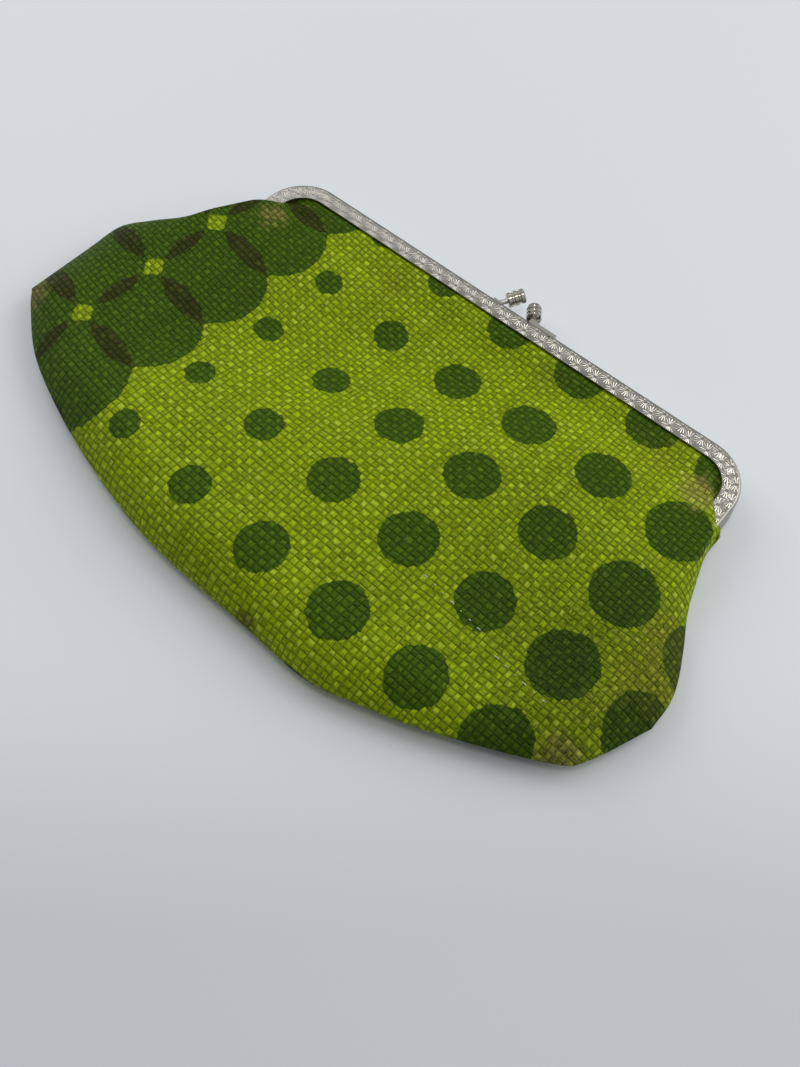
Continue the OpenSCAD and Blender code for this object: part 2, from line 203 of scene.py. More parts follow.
def beside(x):
    """The outline's upper edge at x, beyond the frame."""
    left = np.interp(x, LEFT_EDGE[::-1, 0], LEFT_EDGE[::-1, 1])
    right = np.interp(x, RIGHT_EDGE[:, 0], RIGHT_EDGE[:, 1])
    return np.where(x < 0, left, right)


# Points taken at a time, and how steeply nearer stretches of the outline count for more.
EDGE_BATCH, EDGE_NEAREST, EDGE_POWER = 4000, 0.3, -6.0


def edge_field(x, y):
    """Distances from points to the outline, and the smoothed directions out over it."""
    a, b = EDGE[:-1], EDGE[1:]
    d = b - a
    size = np.linalg.norm(d, axis=1)
    normal = np.stack([d[:, 1], -d[:, 0]], axis=1) / size[:, None]
    near, ways = [], []
    points = np.stack([x.ravel(), y.ravel()], axis=1)
    for part in np.array_split(points, max(1, len(points) // EDGE_BATCH)):
        t = np.clip(((part[:, None] - a) * d).sum(2) / size**2, 0, 1)
        reach = np.linalg.norm(part[:, None] - a - t[..., None] * d, axis=2)
        way = (size * np.maximum(reach, EDGE_NEAREST) ** EDGE_POWER) @ normal
        near.append(reach.min(1))
        ways.append(way / np.linalg.norm(way, axis=1)[:, None])
    return np.concatenate(near).reshape(x.shape), np.concatenate(ways).reshape(x.shape + (2,))


def level(x, y):
    """Height of the front cloth away from its edges."""
    z = np.full(np.shape(x), FRONT_LEVEL)
    for cx, cy, turn, length, width, height in SWELLS.values():
        c, s = math.cos(math.radians(turn)), math.sin(math.radians(turn))
        along = ((x - cx) * c + (y - cy) * s) / length
        across = ((y - cy) * c - (x - cx) * s) / width
        z = z + height * np.exp(-along**2 - across**2)
    return z


def tucked(x, inset):
    """Top edge of cloth inside the channel."""
    r = CORNER_R - inset
    over = np.clip(np.abs(x) - (FRAME_HALF - CORNER_R), 0, r)
    return -inset - r + np.sqrt(r * r - over * over)


# Where the cloth comes out of the channel and folds over the legs: drops at the leg's two edges.
LEG_SPARE = 1.0
LEG_IN, LEG_OUT = FRAME_HALF - BAND_W, FRAME_HALF + LEG_SPARE
FOLD_LEFT, FOLD_RIGHT = (10.0, 13.0), (13.0, 20.5)
FOLD_RISE, FOLD_SPARE = 5.0, 0.6
# Near a leg the cloth stays this far under the band, or over it below the fold.
LEG_FROM, LEG_RUN, BAND_CLEAR = 68.0, 9.0, 1.3
# The cloth swells beside the band's edge where it comes out, and sinks from there.
LIP_DROP, LIP_SWELL, LIP_FROM, LIP_RUN = 0.95, 0.4, 1.0, 9.0
LIP_EDGE, LIP_BLEND = 0.75, 0.6


def fold_drop(x):
    """Drop below the frame's top edge where the cloth starts to fold over a leg."""
    t = (np.abs(x) - LEG_IN) / (LEG_OUT - LEG_IN)
    return np.where(x < 0, mix(*FOLD_LEFT, t), mix(*FOLD_RIGHT, t))


# A rolled edge rises from the seam by a power of a quarter circle's square.
ROLL_POWER, ROLL_COUNT = 0.75, 40
ROLL_STEPS = (np.arange(ROLL_COUNT) + 0.5) / ROLL_COUNT
# Widths of the rolled edges beside the legs and below, and the drops over which they grow.
FRONT_ROLL, FRONT_ROLL_FROM = (1.9, 14.0), 28.0
BACK_ROLL, BACK_ROLL_FROM = (3.0, 12.0), 22.0
ROLL_GROWS = 26.0


def rolled(x, y, body, width):
    """Heights with the edge rolled to the seam."""
    t = np.clip(edge_field(x, y)[0] / width, 0, 1)
    return mix(SEAM_Z, body, (1 - (1 - t) ** 2) ** ROLL_POWER)


def wrapped_place(x, y, body, width):
    """Place on the flat cloth, where the rolled edge takes up more cloth than its width."""
    near, way = edge_field(x, y)
    t = np.clip(near / width, 0, 1)
    left = 1 - (t[..., None] + (1 - t[..., None]) * ROLL_STEPS)
    steep = (np.abs(body - SEAM_Z) / width)[..., None]
    slope = steep * 2 * ROLL_POWER * left * (1 - left**2) ** (ROLL_POWER - 1)
    extra = (np.sqrt(1 + slope**2) - 1).mean(axis=-1) * (1 - t) * width
    return cloth_place(x + way[..., 0] * extra, y + way[..., 1] * extra)


def front_roll(y):
    """Width of the front cloth's rolled edge."""
    return mix(*FRONT_ROLL, smooth((-y - FRONT_ROLL_FROM) / ROLL_GROWS))


def back_roll(y):
    """Width of the back cloth's rolled edge."""
    return mix(*BACK_ROLL, smooth((-y - BACK_ROLL_FROM) / ROLL_GROWS))


def front_body(x, y):
    """Heights of the front cloth before its edge is rolled down."""
    z = level(x, y)
    side = smooth((np.abs(x) - LEG_FROM) / LEG_RUN)
    under = np.minimum(z, BAND_Z - BAND_CLEAR)
    lip = 1 - smooth((-y - BAND_W - LIP_FROM) / LIP_RUN)
    drop = mix(LIP_SWELL, LIP_DROP, smooth((y + BAND_W + LIP_EDGE) / LIP_BLEND))
    z = mix(z, np.maximum(z, BAND_Z - drop), lip)
    over = np.maximum(z, BAND_Z + BAND_CLEAR)
    folded = mix(under, over, smooth((-y - fold_drop(x)) / FOLD_RISE))
    return mix(z, folded, side)


def front_height(x, y):
    """Heights of the finished front cloth."""
    return rolled(x, y, front_body(x, y), front_roll(y))


# The back cloth lies just off the table and rises to the channel between the legs.
BACK_LIFT, BACK_RISE = 0.15, 0.75
BACK_RISE_FROM, BACK_RISE_RUN = 46.0, 14.0
BACK_SIDE_FROM, BACK_SIDE_RUN = 80.0, 3.0


def back_body(x, y):
    """Heights of the back cloth before its edge is rolled up."""
    rise = smooth((y + BACK_RISE_FROM) / BACK_RISE_RUN)
    side = smooth((np.abs(x) - BACK_SIDE_FROM) / BACK_SIDE_RUN)
    return BACK_LIFT + BACK_RISE * rise * (1 - side)


def back_height(x, y):
    """Heights of the finished back cloth."""
    return rolled(x, y, back_body(x, y), back_roll(y))


# Extra columns where the cloth stands up beside the right leg.
WALL_FROM, WALL_TO, WALL_STEP = 83.45, 84.7, 0.08
WALL_COLUMNS = np.arange(WALL_FROM, WALL_TO, WALL_STEP)
# Columns come closer together towards the tips and round the middle of each leg.
TIP_FADE, LEG_MIDDLE, LEG_FINE, LEG_FADE = 8.0, 80.5, 4.0, 6.0
END_CROWDING = 0.7


def columns(start, end, fine, coarse):
    """Column places, close together near the legs and the tips."""
    xs, x = [start], start
    while x < end:
        tip = min(x - start, end - x)
        leg = max(0.0, abs(abs(x) - LEG_MIDDLE) - LEG_FINE)
        x += mix(fine, coarse, float(smooth(min(tip / TIP_FADE, leg / LEG_FADE))))
        xs.append(min(x, end))
    return np.union1d(xs, WALL_COLUMNS)


def rows(low, high, count):
    """Row places from low to high, closer together at both ends."""
    t = np.linspace(0, 1, count)
    t = mix(t, 0.5 - 0.5 * np.cos(np.pi * t), END_CROWDING)
    return mix(low[:, None], high[:, None], t)


# Places on the flat cloth, for the print and the weave

PRINT_PITCH = 25.0
# The print on the bag, in pitches: its place at the frame's middle, and its steps and turn over each
# print length along x and y.
PRINT_LENGTH = 100.0
PRINT_AT, PRINT_STEP, PRINT_TURN = (1.87, 0.24), (4.09, 4.54), (-0.22, 0.12)
# The bag bends the print: its columns fan out and skew, and its rows close up, sag and lift.
COLUMN_FAN, COLUMN_SKEW = 0.26, -0.16
ROW_CLOSE, ROW_SAG, ROW_LIFT = 0.4, -0.18, 0.16


def cloth_place(x, y):
    """Place on the flat cloth, in millimetres, of a point of the bag."""
    x, y = np.asarray(x, float) / PRINT_LENGTH, np.asarray(y, float) / PRINT_LENGTH
    u = PRINT_AT[0] + PRINT_STEP[0] * x + PRINT_TURN[0] * y
    v = PRINT_AT[1] + PRINT_STEP[1] * y + PRINT_TURN[1] * x
    u = u + COLUMN_FAN * x * y + COLUMN_SKEW * x**2 * y
    v = v + ROW_CLOSE * y**2 + ROW_SAG * x**2 + ROW_LIFT * x**3
    return np.stack([u, v, np.zeros_like(u)], axis=-1) * PRINT_PITCH


# Shader tools

# Sockets of Blender's mix node: the share, then the two numbers or colours, and the result of each kind.
MIX_SHARE, MIX_NUMBERS, MIX_COLOURS = 0, (2, 3), (6, 7)
MIXED_NUMBER, MIXED_COLOUR = 0, 2


class Value:
    """A shader socket that takes part in sums."""

    def __init__(self, graph, socket):
        self.graph = graph
        self.socket = socket

    def __add__(self, other):
        return self.graph.math("ADD", self, other)

    def __sub__(self, other):
        return self.graph.math("SUBTRACT", self, other)

    def __rsub__(self, other):
        return self.graph.math("SUBTRACT", other, self)

    def __mul__(self, other):
        return self.graph.math("MULTIPLY", self, other)

    def __truediv__(self, other):
        return self.graph.math("DIVIDE", self, other)

    __radd__ = __add__

    def floor(self):
        return self.graph.math("FLOOR", self)

    def abs(self):
        return self.graph.math("ABSOLUTE", self)

    def clamp(self):
        return self.graph.math("MINIMUM", self.graph.math("MAXIMUM", self, 0.0), 1.0)

    def ramp(self, low, high):
        """0 at low, 1 at high, smooth between."""
        node = self.graph.node("ShaderNodeMapRange", interpolation_type="SMOOTHSTEP")
        self.graph.put(node.inputs["Value"], self)
        node.inputs["From Min"].default_value = low
        node.inputs["From Max"].default_value = high
        return Value(self.graph, node.outputs["Result"])


class Graph:
    """A material under construction."""

    def __init__(self, name):
        self.material = bpy.data.materials.new(name)
        self.material.use_nodes = True
        self.tree = self.material.node_tree
        self.tree.nodes.clear()
        self.shader = self.node("ShaderNodeBsdfPrincipled")
        output = self.node("ShaderNodeOutputMaterial")
        self.tree.links.new(self.shader.outputs["BSDF"], output.inputs["Surface"])

    def node(self, kind, **settings):
        made = self.tree.nodes.new(kind)
        for key, value in settings.items():
            setattr(made, key, value)
        return made

    def put(self, socket, value):
        """Links a value to a socket, or sets a plain one there."""
        if isinstance(value, Value):
            self.tree.links.new(value.socket, socket)
        else:
            socket.default_value = value

    def set(self, **values):
        """Shader inputs by name, with spaces written as underscores."""
        for key, value in values.items():
            self.put(self.shader.inputs[key.replace("_", " ")], value)

    def math(self, operation, *values):
        made = self.node("ShaderNodeMath", operation=operation)
        for socket, value in zip(made.inputs, values):
            self.put(socket, value)
        return Value(self, made.outputs[0])

    def lerp(self, a, b, t):
        """The number a at 0 and b at 1."""
        made = self.node("ShaderNodeMix", data_type="FLOAT")
        self.put(made.inputs[MIX_SHARE], t)
        for socket, value in zip(MIX_NUMBERS, (a, b)):
            self.put(made.inputs[socket], value)
        return Value(self, made.outputs[MIXED_NUMBER])

    def colours(self, a, b, t, blend="MIX"):
        """The colour a at 0 and b, or its blend with a, at 1."""
        made = self.node("ShaderNodeMix", data_type="RGBA", blend_type=blend)
        self.put(made.inputs[MIX_SHARE], t)
        for socket, value in zip(MIX_COLOURS, (a, b)):
            self.put(made.inputs[socket], value)
        return Value(self, made.outputs[MIXED_COLOUR])

    def vector(self, x, y, z=0.0):
        made = self.node("ShaderNodeCombineXYZ")
        for socket, value in zip(made.inputs, (x, y, z)):
            self.put(socket, value)
        return Value(self, made.outputs[0])

    def parts(self, vector):
        made = self.node("ShaderNodeSeparateXYZ")
        self.put(made.inputs[0], vector)
        return [Value(self, s) for s in made.outputs]

    def attribute(self, name):
        """A vector stored per point."""
        return Value(self, self.node("ShaderNodeAttribute", attribute_name=name).outputs["Vector"])

    def level(self, name):
        """A number stored per point."""
        return Value(self, self.node("ShaderNodeAttribute", attribute_name=name).outputs["Fac"])

    def place(self):
        return Value(self, self.node("ShaderNodeTexCoord").outputs["Object"])

    def noise(self, vector, scale, detail):
        made = self.node("ShaderNodeTexNoise")
        self.put(made.inputs["Vector"], vector)
        made.inputs["Scale"].default_value = scale
        made.inputs["Detail"].default_value = detail
        return Value(self, made.outputs[0])

    def random(self, x, y):
        """A number from 0 to 1 for each pair."""
        made = self.node("ShaderNodeTexWhiteNoise", noise_dimensions="2D")
        self.put(made.inputs["Vector"], self.vector(x, y))
        return Value(self, made.outputs["Value"])

    def steps(self, value, levels):
        """A level for each equal part of 0 to 1."""
        made = self.node("ShaderNodeValToRGB")
        ramp = made.color_ramp
        ramp.interpolation = "CONSTANT"
        while len(ramp.elements) < len(levels):
            ramp.elements.new(1.0)
        for i, grey in enumerate(levels):
            ramp.elements[i].position = i / len(levels)
            ramp.elements[i].color = (grey, grey, grey, 1.0)
        self.put(made.inputs[0], value)
        return Value(self, made.outputs["Color"])

    def bump(self, height, distance):
        """Tilts the surface as heights in units of a distance in millimetres would."""
        made = self.node("ShaderNodeBump")
        made.inputs["Strength"].default_value = 1.0
        made.inputs["Distance"].default_value = distance * MM
        self.put(made.inputs["Height"], height)
        self.put(self.shader.inputs["Normal"], Value(self, made.outputs["Normal"]))


def linear(r, g, b):
    """An sRGB colour in 0 to 255 as the linear one that shaders take."""
    def one(c):
        c /= 255
        return c / 12.92 if c <= 0.04045 else ((c + 0.055) / 1.055) ** 2.4
    return (one(r), one(g), one(b), 1.0)


# Materials

# The weave: yarn pitches, uneven and wandering yarns, and how yarns round off, fray and gape, with shade
# painted along the gaps.
YARN_U, YARN_V = 1.86, 1.73
SLUB_SCALE, SLUB_THICK, SLUB_SEED_U, SLUB_SEED_V = 0.24, 1.3, 3.0, 47.0
WANDER_SCALE, WANDER = 0.22, 0.32
CROWN_FALL, WEFT_LOW, STRAND_HEIGHT = 0.55, 0.25, 0.3
STRAND_FINE, STRAND_LONG, STRAND_DETAIL = 2.7, 0.6, 3.0
GAP_FROM, GAP_TO_U, GAP_TO_V = 0.22, 0.54, 0.56
GAP_U, GAP_U_MORE = 0.15, 0.75
GAP_V, GAP_V_LESS, GAP_V_UP = 0.8, 0.7, 0.3
EDGE_SEED_U, EDGE_SEED_V, YARN_SEED = 0.5, -7.5, 37.0

LIME, LIME_DEEP = linear(166, 188, 8), linear(128, 154, 0)
GREEN, GREEN_DEEP = linear(76, 106, 8), linear(62, 92, 2)
BROWN = linear(54, 57, 6)
WORN, TINT = linear(164, 152, 82), linear(134, 122, 34)
# A sheen painted on the yarn tops.
YARN_TOP_SHEEN = linear(190, 198, 84)
# Painted shade in the gaps between yarns, on plain cloth and on the print.
LIME_GAP_SHADE, GREEN_GAP_SHADE = linear(58, 88, 0), linear(26, 48, 0)
SOIL = linear(72, 56, 20)
# Dot radius and sideways shift as shares of the pitch, for print columns from -3 to 7.
DOT_RADII = (0.63, 0.63, 0.63, 0.167, 0.212, 0.272, 0.306, 0.312, 0.375, 0.39, 0.39)
DOT_SHIFTS = (0.0, 0.0, 0.08) + (0.0,) * 8
FIRST_COLUMN = -3
# The ink bleeds and closes the thin tips between discs that touch.
DOT_BLEED, DOT_EDGE = 0.06, 0.008
DOT_CLOSE = (0.44, 0.56)


def slub(g, t, other, seed):
    """Sideways shift of yarns: thick and thin ones, which also wander a little."""
    thick = g.noise(g.vector(t * SLUB_SCALE, seed), scale=1.0, detail=1.0) - 0.5
    path = g.vector(t * WANDER_SCALE, other * WANDER_SCALE, seed)
    wander = g.noise(path, scale=1.0, detail=1.0) - 0.5
    return thick * SLUB_THICK + wander * WANDER


def plain_weave(g, u, v):
    """Heights, cells and tones of a plain weave of flat, uneven yarns, with painted shade along the gaps
    between them.
    """
    a = u / YARN_U + slub(g, u, v, SLUB_SEED_U)
    b = v / YARN_V + slub(g, v, u, SLUB_SEED_V)
    col, row = a.floor(), b.floor()
    fa, fb = a - col - 0.5, b - row - 0.5
    across_up = g.math("FLOORED_MODULO", col + row, 2.0)
    wide = g.lerp(fa, fb, across_up) * 2
    long = g.lerp(fb, fa, across_up) * 2
    wide2, long2 = wide * wide, long * long
    crown = (1 - wide2 * wide2) * (1 - long2 * CROWN_FALL)
    fine_u = g.noise(g.vector(u * STRAND_FINE, v * STRAND_LONG), scale=1.0, detail=STRAND_DETAIL)
    fine_v = g.noise(g.vector(u * STRAND_LONG, v * STRAND_FINE), scale=1.0, detail=STRAND_DETAIL)
    strands = g.lerp(fine_u, fine_v, across_up)
    edge = g.random(col + EDGE_SEED_U, row + EDGE_SEED_V)
    # Shade painted along the gaps between yarns, stronger at some yarn edges than at others.
    gap_shade_u = fb.abs().ramp(GAP_FROM, GAP_TO_U) * (GAP_U + edge * GAP_U_MORE)
    gap_shade_v = fa.abs().ramp(GAP_FROM, GAP_TO_V) * (1 - across_up * GAP_V_UP) * (GAP_V - edge * GAP_V_LESS)
    return {
        "height": crown * (1 - across_up * WEFT_LOW) + strands * STRAND_HEIGHT,
        "gap_shade": g.math("MAXIMUM", gap_shade_u, gap_shade_v),
        "across_up": across_up,
        "tone": g.random(col, row),
        "yarn": g.random(g.lerp(col, row + YARN_SEED, across_up), across_up),
        "strands": strands,
        "crown": crown,
        "cell_u": (col + 0.5) * YARN_U,
        "cell_v": (row + 0.5) * YARN_V,
    }


def dot_cover(g, u, v):
    """Shares of a point that one and two printed discs of the graded lattice cover."""
    a, b = u / PRINT_PITCH, v / PRINT_PITCH
    col, row = a.floor(), b.floor()
    soft = hard = None
    for di in (0, 1):
        place = (col + (di + 0.5 - FIRST_COLUMN)) / len(DOT_RADII)
        radius = g.steps(place, DOT_RADII)
        dx = a - col - di - g.steps(place, DOT_SHIFTS)
        for dj in (0, 1):
            dy = b - row - dj
            reach = g.math("SQRT", dx * dx + dy * dy)
            bled = (radius - reach).ramp(-DOT_BLEED, DOT_BLEED)
            inside = (radius - reach).ramp(-DOT_EDGE, DOT_EDGE)
            soft = bled if soft is None else soft + bled
            hard = inside if hard is None else hard + inside
    return soft.ramp(*DOT_CLOSE), (hard - 1).clamp()


def spot_field(g, u, v, spots):
    """Sum of soft round spots given by place, radius and strength."""
    total = None
    for x, y, radius, strength in spots:
        cu, cv, _ = cloth_place(x, y)
        du, dv = u - float(cu), v - float(cv)
        near = g.math("SQRT", du * du + dv * dv).ramp(radius, 0.0) * strength
        total = near if total is None else total + near
    return total


# Places on the bag, radii and strengths of worn and tanned patches, of shade painted on the lower right
# where the cloth slopes away from the light, and of soiled patches.
WORN_SPOTS = ((73, -16, 11, 0.9), (88, -97.2, 10, 1.15), (-112, -82, 9, 0.8), (-76, -18, 9, 0.7))
TINT_SPOTS = (
    (93, -66, 22, 0.9), (88, -52, 14, 0.6), (84, -86, 15, 0.5), (-34, -14, 16, 0.5), (58, -13, 18, 0.55),
    (20, -12, 14, 0.35),
)
SLOPE_SHADE_SPOTS = ((94, -80, 60, 0.3), (45, -62, 60, 0.11))
SOIL_SPOTS = ((5, -121.5, 6, 1.3), (-112, -80, 14, 0.5), (101, -75, 8, 0.4))


# How the ink follows the yarns, and how much a second layer of ink covers.
INK_SNAP, INK_FRAY_U, INK_FRAY_V, TWICE_COVER = 0.18, 1.1, 0.7, 0.9
DEEP_WEFT, DEEP_TONE = 0.4, 0.5
# Patches break up by the tone of the yarns, and start and end at levels of the sum.
WEAR_TONE, WEAR_FROM, WEAR_RUN, WEAR_COVER = 0.35, 0.3, 0.7, 0.6
TINT_TONE, TINT_FROM, TINT_RUN, TINT_COVER, TINT_INK = 0.5, 0.4, 1.0, 0.62, 0.4
SOIL_SCALE, SOIL_DETAIL, SOIL_NOISE = 0.25, 3.0, 0.6
SOIL_FROM, SOIL_RUN, SOIL_COVER = 0.45, 0.9, 0.7
# A sheen is painted on the yarns' tops as a paler colour, less on the weft and on the print.
SHEEN_WEFT, SHEEN_COVER, SHEEN_INK = 0.4, 0.34, 0.3
# Brightness of the cloth, and what each part of the weave adds to it.
SHADE, SHADE_TONE, SHADE_INK, SHADE_YARN, SHADE_STRANDS = 0.725, 0.26, 0.1, 0.22, 1.7
PATCH_SCALE, PATCH_DETAIL, SHADE_PATCH = 0.035, 2.0, 0.35
# Each yarn is painted darker towards its sides than on its crown, as shade.
SHADE_LOW, SHADE_CROWN, SHADE_WARP, SHADE_WEFT = 0.82, 0.34, 1.03, 0.1
GAP_SHADE_COVER, CLOTH_ROUGH, CROWN_SHINE, CLOTH_SPECULAR = 0.66, 0.66, 0.12, 0.1
CLOTH_BUMP = 0.42


def inked(g, u, v, w):
    """Shares that one and two discs cover, with edges that follow the yarns."""
    ink_u = g.lerp(u, w["cell_u"], INK_SNAP) + (w["strands"] - 0.5) * INK_FRAY_U
    ink_v = g.lerp(v, w["cell_v"], INK_SNAP) + (w["tone"] - 0.5) * INK_FRAY_V
    return dot_cover(g, ink_u, ink_v)


def dyed(g, w, once, twice):
    """Colour of the print, deeper on some yarns."""
    light = g.colours(g.colours(LIME, GREEN, once), BROWN, twice * TWICE_COVER)
    deep = g.colours(g.colours(LIME_DEEP, GREEN_DEEP, once), BROWN, twice * TWICE_COVER)
    return g.colours(light, deep, (w["across_up"] * DEEP_WEFT + w["tone"] * DEEP_TONE).clamp())


def aged(g, cloth, u, v, w, once):
    """Cloth with its worn, tanned and soiled patches, and a sheen painted on its yarn tops."""
    wear = (spot_field(g, u, v, WORN_SPOTS) + w["tone"] * WEAR_TONE - WEAR_FROM).ramp(0.0, WEAR_RUN)
    tint = (spot_field(g, u, v, TINT_SPOTS) + w["tone"] * TINT_TONE - TINT_FROM).ramp(0.0, TINT_RUN)
    dirt = g.noise(g.vector(u, v), SOIL_SCALE, SOIL_DETAIL) * SOIL_NOISE
    soil = (spot_field(g, u, v, SOIL_SPOTS) + dirt - SOIL_FROM).ramp(0.0, SOIL_RUN)
    # Painted sheen on the crowns of the yarns.
    top_sheen = w["crown"] * w["tone"] * (1 - w["across_up"] * SHEEN_WEFT)
    cloth = g.colours(cloth, WORN, wear * WEAR_COVER)
    cloth = g.colours(cloth, TINT, tint * (TINT_COVER - once * TINT_INK))
    cloth = g.colours(cloth, SOIL, soil * SOIL_COVER)
    return g.colours(cloth, YARN_TOP_SHEEN, top_sheen * top_sheen * (SHEEN_COVER - once * SHEEN_INK))


def brightness(g, u, v, w, once):
    """Light and dark yarns, fibres and patches, with shade painted at the yarns' sides and on the lower
    right.
    """
    tone = (w["tone"] - 0.5) * (SHADE_TONE - once * SHADE_INK)
    fibres = (w["strands"] - 0.5) * SHADE_STRANDS
    patch = (g.noise(g.vector(u, v), PATCH_SCALE, PATCH_DETAIL) - 0.5) * SHADE_PATCH
    # Shade is painted on the lower right, where the cloth slopes away from the light.
    shade = SHADE + tone + w["yarn"] * SHADE_YARN + fibres + patch - spot_field(g, u, v, SLOPE_SHADE_SPOTS)
    # Painted shade at the yarns' sides.
    return shade * (SHADE_LOW + w["crown"] * SHADE_CROWN) * (SHADE_WARP - w["across_up"] * SHADE_WEFT)


def printed_cloth():
    """Coarse plain weave, printed with graded dots, worn and a little soiled, with shade painted in its
    gaps, at the yarns' sides and on the lower right, and a sheen painted on the yarn tops.
    """
    g = Graph("printed_cloth")
    u, v, _ = g.parts(g.attribute("cloth"))
    w = plain_weave(g, u, v)
    once, twice = inked(g, u, v, w)
    cloth = aged(g, dyed(g, w, once, twice), u, v, w, once)
    shade = brightness(g, u, v, w, once)
    cloth = g.colours(cloth, g.vector(shade, shade, shade), 1.0, "MULTIPLY")
    # Shade painted into the gaps between yarns, a deeper green on the print.
    gap_shade_colour = g.colours(LIME_GAP_SHADE, GREEN_GAP_SHADE, once)
    g.set(Base_Color=g.colours(cloth, gap_shade_colour, w["gap_shade"] * GAP_SHADE_COVER))
    g.set(Roughness=CLOTH_ROUGH - w["crown"] * CROWN_SHINE, Specular_IOR_Level=CLOTH_SPECULAR)
    g.bump(w["height"], CLOTH_BUMP)
    return g.material


LINING, LINING_DEEP = linear(214, 205, 178), linear(188, 178, 150)
LINING_FINE, CREASE_SCALE, CREASE_DETAIL, CREASE_STRETCH = 4, 0.09, 4.0, 0.4
LINING_TONE, LINING_CREASE, LINING_ROUGH, LINING_SHEEN = 0.5, 0.6, 0.75, 0.2
LINING_WEAVE, LINING_FOLDS, LINING_BUMP = 0.25, 2, 0.3


def lining_cloth():
    """Plain cream cotton with soft creases."""
    g = Graph("lining_cloth")
    u, v, _ = g.parts(g.attribute("cloth"))
    w = plain_weave(g, u * LINING_FINE, v * LINING_FINE)
    creases = g.noise(g.vector(u, v * CREASE_STRETCH), CREASE_SCALE, CREASE_DETAIL)
    deep = (w["tone"] * LINING_TONE + creases * LINING_CREASE).clamp()
    g.set(Base_Color=g.colours(LINING, LINING_DEEP, deep))
    g.set(Roughness=LINING_ROUGH, Sheen_Weight=LINING_SHEEN)
    g.bump(w["height"] * LINING_WEAVE + creases * LINING_FOLDS, LINING_BUMP)
    return g.material


NICKEL, NICKEL_DULL = linear(165, 162, 154), linear(147, 144, 136)
# Ridges of the stamped strokes: polished, and painted brighter as a highlight.
RIDGE_HIGHLIGHT = linear(226, 222, 210)
TARNISH, GROUND = linear(58, 52, 44), linear(104, 101, 95)
KNOB, KNOB_DEEP = linear(206, 202, 192), linear(176, 168, 150)
POST, POST_DEEP = linear(202, 199, 190), linear(184, 180, 170)
CLOUD_SCALE, CLOUD_ROUGH = 160.0, 0.06
PIT_SCALE, PIT_EDGE, PIT_ROUGH = 420.0, (0.76, 0.8), 0.3
GRAIN_SCALE = 2600.0


def plated(name, light, dull, rough, grain, pitted):
    """Nickel plate: a cloudy tint, fine brushing and a few dark pits."""
    g = Graph(name)
    place = g.place()
    cloud = g.noise(place, CLOUD_SCALE, detail=3.0)
    pits = g.noise(place, PIT_SCALE, detail=1.0).ramp(*PIT_EDGE) * pitted
    base = g.colours(g.colours(light, dull, cloud), TARNISH, pits)
    g.set(Base_Color=base, Metallic=1.0, Roughness=rough + cloud * CLOUD_ROUGH + pits * PIT_ROUGH)
    g.bump(g.noise(place, GRAIN_SCALE, detail=1.0), grain)
    return g.material


STAMP_SCALE, STAMP_WEAR, STAMP_EDGE = 300.0, 0.5, (0.1, 0.85)
STAMP_ROUGH, STAMP_POLISH = 0.46, 0.14


def stamped_plate():
    """Stamped strokes: ridges polished and painted bright as a highlight, on a dull, dirty ground."""
    g = Graph("nickel_stamped")
    wear = g.noise(g.place(), STAMP_SCALE, detail=2.0)
    # The ridges are painted brighter than the ground, partly as polish and partly as a painted highlight.
    polish_and_highlight = (g.level("ridge") + (wear - 0.5) * STAMP_WEAR).ramp(*STAMP_EDGE)
    g.set(Base_Color=g.colours(GROUND, RIDGE_HIGHLIGHT, polish_and_highlight), Metallic=1.0)
    g.set(Roughness=STAMP_ROUGH - polish_and_highlight * STAMP_POLISH)
    return g.material


PAPER, PAPER_DEEP = linear(196, 168, 122), linear(150, 120, 78)
PAPER_SCALE, PAPER_ROUGH, PAPER_BUMP = 1500.0, 0.85, 0.05


def paper_cord():
    """Brown kraft paper."""
    g = Graph("paper_cord")
    fibre = g.noise(g.place(), PAPER_SCALE, detail=3.0)
    g.set(Base_Color=g.colours(PAPER, PAPER_DEEP, fibre), Roughness=PAPER_ROUGH)
    g.bump(fibre, PAPER_BUMP)
    return g.material


THREAD, THREAD_DEEP = linear(236, 236, 226), linear(206, 208, 190)
THREAD_SCALE, THREAD_ROUGH = 3000.0, 0.6


def loose_thread():
    """Pale sewing thread."""
    g = Graph("loose_thread")
    fibre = g.noise(g.place(), THREAD_SCALE, detail=2.0)
    g.set(Base_Color=g.colours(THREAD, THREAD_DEEP, fibre), Roughness=THREAD_ROUGH)
    return g.material


# Cloth pieces

FRONT_ROWS, BACK_ROWS, LINING_ROWS = 128, 104, 40
CLOTH_FINE, FRONT_COARSE, BACK_COARSE, TIP_SPARE = 0.3, 1.25, 1.6, 0.05
# The back cloth is cut back round the hinges, and starts this low beside the legs.
HINGE_CUT, BACK_SIDE_TOP = 4.0, -6.0
CLOTH = printed_cloth()
LINING_MATERIAL = lining_cloth()


def front_top(x):
    """Top edge of the front cloth at x."""
    size = np.abs(x)
    seam_top = np.where(x < 0, -LEFT_SIDE[0][0], RIGHT_SIDE[0][0])
    free = -fold_drop(x) - FOLD_SPARE
    top = np.where(size < FRAME_HALF - TUCK_S, tucked(x, TUCK_S), free)
    return np.where(size > seam_top, beside(x), top)


def back_top(x):
    """Top edge of the back cloth, cut back round the hinges."""
    size = np.abs(x)
    top = np.where(size < FRAME_HALF - TUCK_S, tucked(x, TUCK_S), -HINGE_S - HINGE_CUT)
    return np.where(size > LEG_OUT, np.minimum(beside(x), BACK_SIDE_TOP), top)


